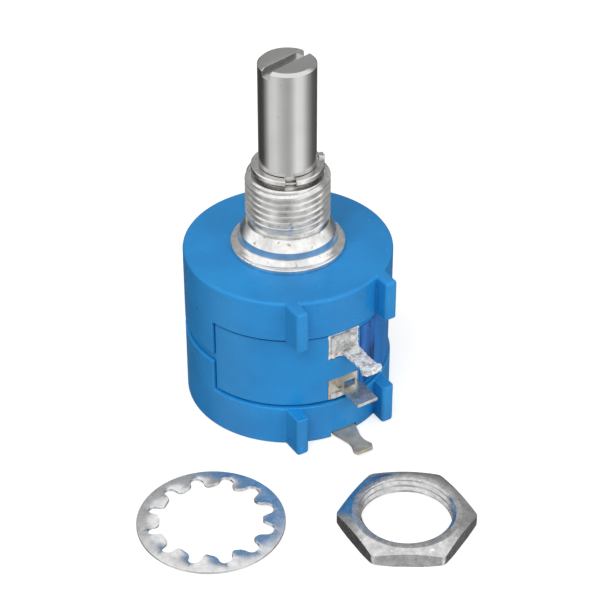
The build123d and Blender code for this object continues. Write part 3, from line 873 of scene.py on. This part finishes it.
class POT_OT_terminals(bpy.types.Operator):
    """Cuts the three terminals from sheet, with their plates and flared lugs"""

    bl_idname = "pot.terminals"
    bl_label = "Terminals"

    def execute(self, context):
        t = sizes_of(context, "pot_terminals")
        coated = finish(
            "soldered_sheet", (0.84, 0.84, 0.83), (0.40, 0.40, 0.39), 0.4, (0.35, 0.65), 1300.0,
            bump=(1700.0, 0.9, 0.1), spots=((0.45, 0.20, 0.06), 620.0, 0.66, 0.72),
            sharp=(0.34, 0.5),
        )
        bare = finish(
            "tinned_sheet", (0.74, 0.72, 0.67), (0.46, 0.44, 0.39), 0.85, (0.16, 0.34), 700.0,
            bump=(1100.0, 0.25, 0.02), spots=((0.36, 0.31, 0.16), 520.0, 0.6, 0.74),
        )
        dull = finish(
            "dull_sheet", (0.60, 0.55, 0.47), (0.40, 0.36, 0.30), 0.55, (0.35, 0.55), 800.0,
            bump=(1700.0, 0.4, 0.03), spots=((0.52, 0.46, 0.16), 480.0, 0.56, 0.7),
        )
        outer = t.plate_inner + t.metal
        side = (t.plate_left, t.plate_right)
        for name, low, high, top, material, stations in (
            ("front_terminal", t.front_low, t.front_high, t.front_lug_top, coated,
             [(10.4, 1.05), (12.35, 0.87), (13.9, 0.87), (14.9, 1.15), (15.4, 0.9)]),
            ("rear_terminal", t.rear_low, t.rear_high, t.rear_lug_top, bare,
             [(10.4, 0.95), (10.9, 0.95), (10.95, 1.25), (14.3, 1.25)]),
        ):
            plate = block(name + "_sheet", side, (t.plate_inner, outer), (low, high))
            if name == "rear_terminal":
                cut(plate, block("slit_tool", (0.4, 1.75), (9, 12), (top, top + 0.45)))
            add(plate, strip("lug", t.lug_middle, top - t.metal, t.metal, stations))
            ease(plate, 0.06)
            if name == "front_terminal":
                modify(plate, "SUBSURF", subdivision_type="SIMPLE", levels=4, render_levels=4)
                lumps(plate, "tinning", 0.4, 0.26)
            smooth(plate)
            seat(plate, "housing", material, [name])
        wiper = strip("wiper_terminal_sheet", t.wiper_middle, t.wiper_floor, t.metal, [
            (0.3, 1.35), (11.1, 1.35), (13.1, 0.8), (13.75, 0.8), (14.75, 1.15), (15.25, 0.9),
        ])
        top = t.wiper_floor + t.metal
        add(wiper, cylinder("eye", 1.9, (t.wiper_floor, top), 64))
        cut(wiper, cylinder("rivet_hole", RIVET_HOLE, (t.wiper_floor - PROUD, top + PROUD), 48))
        ease(wiper, 0.06)
        smooth(wiper)
        seat(wiper, "housing", dull, ["wiper_terminal"])
        return {"FINISHED"}


class POT_OT_solder(bpy.types.Operator):
    """Lays the solder on both plates and smears the sealant beside them"""

    bl_idname = "pot.solder"
    bl_label = "Solder and sealant"

    def execute(self, context):
        h = sizes_of(context, "pot_housing")
        t = sizes_of(context, "pot_terminals")
        c = context.scene.pot_colours
        outer = t.plate_inner + t.metal
        solder = finish(
            "rough_solder", (0.74, 0.74, 0.73), (0.36, 0.36, 0.37), 0.9, (0.25, 0.6), 1500.0,
            bump=(2600.0, 0.6, 0.06), spots=((0.95, 0.95, 0.95), 3200.0, 0.6, 0.7),
            sharp=(0.3, 0.55),
        )
        for name, low, high in (
            ("front_solder", t.front_lug_top + 0.1, t.front_high - 0.1),
            ("rear_solder", t.rear_low + 0.1, t.rear_lug_top - t.metal - 0.1),
        ):
            mound = block(
                name, (t.plate_left + 0.25, t.plate_right - 0.25), (outer - 0.08, outer + 0.15),
                (low, high),
            )
            edit(mound)
            bpy.ops.mesh.subdivide(number_cuts=22)
            done()
            lumps(mound, "lumps", 0.7, 0.22)
            lumps(mound, "specks", 0.2, 0.1)
            smooth(mound, 60)
            seat(mound, "housing", solder, [name + "_joint"])
        low = h.window_low + h.pad_line + 0.3
        high = h.window_high - h.pad_line - 0.3
        inner = h.pad_radius - 0.04
        outer = h.pad_radius + 0.07
        sweep = math.radians(12.5)
        smear = turned("sealant_smear", [
            (inner, low), (outer, low), (outer, high), (inner, high),
        ], 16, LUG_SIDE + sweep, sweep)
        edit(smear)
        bpy.ops.mesh.subdivide(number_cuts=5)
        done()
        lumps(smear, "smear", 0.9, 0.1)
        smooth(smear, 60)
        sealant = finish(
            "dark_sealant", shade(c.sealant, 2.6), shade(c.sealant, 0.6), 0.0, (0.12, 0.3), 900.0,
            (1, 1, 0.2), bump=(700.0, 0.6, 0.06),
        )
        seat(smear, "housing", sealant, ["terminal_sealant"])
        return {"FINISHED"}


class POT_OT_hardware(bpy.types.Operator):
    """Makes the loose hexagon nut and the lock washer with its inner teeth"""

    bl_idname = "pot.hardware"
    bl_label = "Nut and lock washer"

    def execute(self, context):
        w = sizes_of(context, "pot_hardware")
        b = sizes_of(context, "pot_bushing")
        c = context.scene.pot_colours
        corner = w.nut_flat / math.cos(math.pi / 6)
        depth = (w.nut_mouth - w.nut_minor) * math.tan(math.radians(30))
        over = 0.1
        slope = w.nut_rise / (corner - w.nut_face)
        rim = corner + over
        nut = turned("mounting_nut_cut", [
            (w.nut_mouth, 0), (w.nut_seat, 0), (rim, (rim - w.nut_seat) * slope),
            (rim, w.nut_thickness - (rim - w.nut_face) * slope),
            (w.nut_face, w.nut_thickness), (w.nut_mouth, w.nut_thickness),
            (w.nut_minor, w.nut_thickness - depth), (w.nut_minor, depth),
        ])
        hexagon = cylinder(
            "hexagon", corner, (-over, w.nut_thickness + over), 6, w.nut_turn - math.radians(30)
        )
        pick(hexagon, lambda place, item: abs(item.verts[0].co.z - item.verts[1].co.z) > MM)
        bevel(w.nut_corner, 4)
        combine(nut, hexagon, "INTERSECT")
        cut(nut, thread_tool(
            "nut_thread_tool", w.nut_minor, w.nut_major, b.thread_pitch,
            -b.thread_pitch, w.nut_thickness + b.thread_pitch,
        ))
        ease(nut, 0.05, angle=24)
        smooth(nut, 20)
        moved(nut, (w.nut_x * MM, w.nut_y * MM, 0))
        satin = finish(
            "satin_steel", shade(c.grey_steel, 1.12), shade(c.grey_steel, 0.78), 0.96,
            (0.16, 0.3), 1400.0, bump=(3000.0, 0.22, 0.01),
            spots=((0.9, 0.9, 0.9), 2600.0, 0.64, 0.72),
        )
        seat(nut, "mounting_nut", satin, ["mounting_nut"])

        half = w.washer_metal / 2
        length = w.washer_valley - w.washer_tip
        loops = [w.washer_tip + share * length for share in TOOTH_LOOPS]
        low = [(reach, w.washer_middle - half) for reach in loops]
        high = [(reach, w.washer_middle + half) for reach in loops]
        outer = w.washer_middle - w.washer_dish
        washer = turned("lock_washer_stamped", low + [
            (w.washer_radius, outer - half, 0.07), (w.washer_radius, outer + half, 0.07),
        ] + high[::-1])
        # The tool for a valley also rounds the tips beside it, and stays clear of the next tool
        pitch = 2 * math.pi / w.washer_teeth
        gap = w.valley_width / 2
        clear = w.washer_tip - 0.03
        side, end = clear * math.sin(pitch / 2), clear * math.cos(pitch / 2)
        tip = w.washer_tip - NEAR
        tool = prism("valley_tool", [
            (-side, 3), (-side, end), (-gap, tip, w.tip_round),
            (-gap, w.washer_valley, gap * 0.96), (gap, w.washer_valley, gap * 0.96),
            (gap, tip, w.tip_round), (side, end), (side, 3),
        ], -1, 2)
        for index in range(w.washer_teeth):
            cut(washer, copied(tool, pitch * (index + 0.5)))
        bpy.data.objects.remove(tool)
        ease(washer, 0.04, angle=50)
        edit(washer)
        bpy.ops.mesh.quads_convert_to_tris()
        done()

        # The twist modifier spreads its angle over the whole washer, and here only a tooth follows
        deselect()
        bpy.ops.object.empty_add(location=(w.washer_valley * MM, 0, w.washer_middle * MM))
        root = context.object
        over_all = w.tooth_twist * 2 * w.washer_radius / length
        sector = 0.27  # reach to each side over reach outwards: a tooth and half of both valleys
        for _ in range(w.washer_teeth):
            tooth = washer.vertex_groups.new(name="tooth")
            tooth.add([
                vert.index for vert in washer.data.vertices
                if abs(vert.co.y) < vert.co.x * sector
                and math.hypot(vert.co.x, vert.co.y) < w.washer_valley * MM
            ], 1.0, "REPLACE")
            modify(
                washer, "SIMPLE_DEFORM", deform_method="TWIST", deform_axis="X", angle=over_all,
                origin=root, vertex_group=tooth.name,
            )
            washer.vertex_groups.clear()
            spun(washer, pitch)
        bpy.data.objects.remove(root)
        smooth(washer, 50)
        moved(washer, (w.washer_x * MM, w.washer_y * MM, 0))
        spring = finish(
            "washer_steel", shade(c.grey_steel, 1.3), shade(c.grey_steel, 1.05), 0.88,
            (0.24, 0.38), 1500.0, bump=(2600.0, 0.14, 0.008),
            spots=((0.55, 0.55, 0.55), 3000.0, 0.66, 0.76),
        )
        seat(washer, "lock_washer", spring, ["lock_washer"])
        return {"FINISHED"}


class POT_OT_inner(bpy.types.Operator):
    """Gives the inner parts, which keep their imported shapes, their finishes"""

    bl_idname = "pot.inner"
    bl_label = "Inner parts"

    def execute(self, context):
        c = context.scene.pot_colours
        brass = finish(
            "rolled_brass", c.brass, shade(c.brass, 0.75), 1.0, (0.25, 0.4), 600.0,
            bump=(2500.0, 0.1, 0.01), spots=(shade(c.brass, 0.45), 900.0, 0.62, 0.8),
        )
        hub = finish(
            "filled_moulding", (0.035, 0.035, 0.038), (0.02, 0.02, 0.022), 0.0, (0.4, 0.55), 300.0,
            bump=(2400.0, 0.2, 0.02), spots=((0.09, 0.09, 0.09), 2600.0, 0.66, 0.8),
        )
        polymer = finish(
            "slippery_polymer", (0.72, 0.70, 0.64), (0.62, 0.60, 0.54), 0.0, (0.35, 0.5), 400.0,
            bump=(2000.0, 0.1, 0.01),
        )
        finishes = {
            "front_end_clip": brass, "rear_end_clip": brass, "collector_spring": brass,
            "terminal_rivet": brass, "collector_rail": brass, "slip_ring": brass,
            "wiper_contact": brass, "collector_brush": brass, "carriage_rivet": brass,
            "rotor_hub": hub, "carriage_block": hub, "thrust_washer": polymer,
            "resistance_element": winding(),
        }
        for name, material in finishes.items():
            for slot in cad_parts[name].material_slots:
                slot.material = material
        return {"FINISHED"}


def winding():
    """Fine resistance wire wound on the helical core: lines across the core, all round."""
    material = finish(
        "wound_wire", (0.46, 0.40, 0.34), (0.34, 0.30, 0.26), 1.0, (0.3, 0.45), 900.0,
        bump=(2400.0, 0.1, 0.01),
    )
    tree = material.node_tree
    parted = node(tree, "SeparateXYZ", {"Vector": place_on(tree)}).outputs
    azimuth = calc(tree, "ARCTAN2", parted["Y"], parted["X"])
    emboss(tree, calc(tree, "SINE", calc(tree, "MULTIPLY", azimuth, 500.0)), 0.6, 0.03)
    return material


# Stage

# Directions in the studio, which stay as they are wherever the camera stands
BACKWARDS = (0.521, 0.853, 0.0)
SIDEWAYS = (0.853, -0.521, 0.0)

# The studio below eye level, as metal mirrors it: degrees from the front, and how bright it is
SOFT_BOXES = (
    (-180, 0.30), (-150, 0.08), (-128, 0.06), (-106, 0.09), (-88, 0.42), (-72, 0.88),
    (-48, 0.96), (-20, 0.68), (0, 0.56), (14, 0.64), (37, 1.15), (60, 1.05), (88, 0.44),
    (112, 0.16), (150, 0.08), (180, 0.30),
)


def soft_boxes(tree, towards):
    """Two bright sides, a dimmer front and a dark back, by the direction in the studio."""
    across = dot(tree, towards, SIDEWAYS)
    front = calc(tree, "MULTIPLY", dot(tree, towards, BACKWARDS), -1.0)
    angle = calc(tree, "ARCTAN2", across, front)
    ramp = node(tree, "ValToRGB", {"Fac": ranged(tree, angle, -math.pi, math.pi)})
    points = ramp.color_ramp.elements
    for index, (degrees, level) in enumerate(SOFT_BOXES):
        share = 0.5 + degrees / 360
        point = points[index] if index < 2 else points.new(share)
        point.position = share
        point.color = (level, level, level, 1)
    return ramp.outputs["Color"]


def aimed(direction):
    return Vector(direction).to_track_quat("-Z", "Y").to_euler()


def lamp(name, place, target, width, power):
    """Square soft lamp that metal doesn't mirror."""
    deselect()
    bpy.ops.object.light_add(type="AREA", location=place)
    light = bpy.context.object
    light.name = name
    light.data.shape = "SQUARE"
    light.data.size = width
    light.data.energy = power
    light.rotation_euler = aimed(Vector(target) - Vector(place))
    light.visible_glossy = False


class POT_OT_stage(bpy.types.Operator):
    """Sets the floor, the soft light and the camera"""

    bl_idname = "pot.stage"
    bl_label = "Stage"

    def execute(self, context):
        scene = context.scene
        st = scene.pot_stage
        scene.view_settings.view_transform = "Standard"
        deselect()
        bpy.ops.mesh.primitive_plane_add(size=3.0, location=(0, 0, 0))
        floor = bpy.context.object
        floor.name = "floor"
        material = bpy.data.materials.new("pale_floor")
        material.use_nodes = True
        tree = material.node_tree
        shader = tree.nodes["Principled BSDF"]
        shader.inputs["Base Color"].default_value = (*[st.floor_grey] * 3, 1)
        shader.inputs["Roughness"].default_value = 0.9
        shader.inputs["Emission Color"].default_value = (1, 1, 1, 1)
        seen = node(tree, "LightPath").outputs
        shown = calc(tree, "MULTIPLY", seen["Is Camera Ray"], st.floor_shown)
        tree.links.new(shown, shader.inputs["Emission Strength"])
        clear = node(tree, "BsdfTransparent").outputs[0]
        both = node(tree, "MixShader", {0: seen["Is Glossy Ray"], 1: shader.outputs[0], 2: clear})
        tree.links.new(both.outputs[0], tree.nodes["Material Output"].inputs["Surface"])
        floor.data.materials.append(material)

        world = bpy.data.worlds.new("studio")
        scene.world = world
        world.use_nodes = True
        tree = world.node_tree
        seen = node(tree, "LightPath").outputs
        shown = ranged(tree, seen["Is Camera Ray"], 0.0, 1.0, st.world_light, 1.0)
        towards = node(tree, "TexCoord").outputs["Generated"]
        height = node(tree, "SeparateXYZ", {"Vector": towards}).outputs["Z"]
        low = ranged(tree, height, 0.70, 0.76, 1.0, 0.0)
        away = ranged(tree, dot(tree, towards, BACKWARDS), 0.1, 0.45)
        above = ranged(tree, calc(tree, "MULTIPLY", low, away), 0.0, 1.0, 1.2, 0.40)
        below = ranged(tree, height, -0.12, -0.02, 1.0, 0.0)
        mirrored = node(tree, "Mix", {0: below, 2: above, 3: soft_boxes(tree, towards)}).outputs[0]
        level = node(tree, "Mix", {0: seen["Is Glossy Ray"], 2: shown, 3: mirrored}).outputs[0]
        tree.links.new(level, tree.nodes["Background"].inputs["Strength"])
        tree.nodes["Background"].inputs["Color"].default_value = (1, 1, 1, 1)

        body = (0, 0, 0.015)
        lamp("key", (-0.22, -0.12, 0.42), body, 0.30, st.key_power)
        lamp("fill", (0.06, -0.36, 0.17), body, 0.25, st.fill_power)

        deselect()
        bpy.ops.object.camera_add(location=st.camera_place)
        camera = context.object
        camera.name = "photo_camera"
        camera.rotation_euler = aimed(st.camera_aim)
        camera.data.lens = st.lens
        camera.data.sensor_width = 36.0
        camera.data.clip_start = 0.005
        scene.camera = camera
        return {"FINISHED"}


OPERATORS = (
    POT_OT_caps, POT_OT_barrel, POT_OT_bushing, POT_OT_shaft, POT_OT_terminals, POT_OT_solder,
    POT_OT_hardware, POT_OT_inner, POT_OT_stage,
)


class POT_PT_panel(bpy.types.Panel):
    """Lists the steps that build the potentiometer"""

    bl_idname = "POT_PT_panel"
    bl_label = "Potentiometer"
    bl_space_type = "VIEW_3D"
    bl_region_type = "UI"
    bl_category = "Potentiometer"

    def draw(self, context):
        for step in OPERATORS:
            self.layout.operator(step.bl_idname)


def register():
    for group in GROUPS.values():
        bpy.utils.register_class(group)
    for name, group in GROUPS.items():
        setattr(bpy.types.Scene, name, PointerProperty(type=group))
    for step in OPERATORS:
        bpy.utils.register_class(step)
    bpy.utils.register_class(POT_PT_panel)


def unregister():
    bpy.utils.unregister_class(POT_PT_panel)
    for step in reversed(OPERATORS):
        bpy.utils.unregister_class(step)
    for name, group in reversed(GROUPS.items()):
        delattr(bpy.types.Scene, name)
        bpy.utils.unregister_class(group)


def main():
    register()
    for step in OPERATORS:
        name = step.bl_idname.split(".")[1]
        getattr(bpy.ops.pot, name)()
    deselect()


if __name__ == "__main__":
    main()
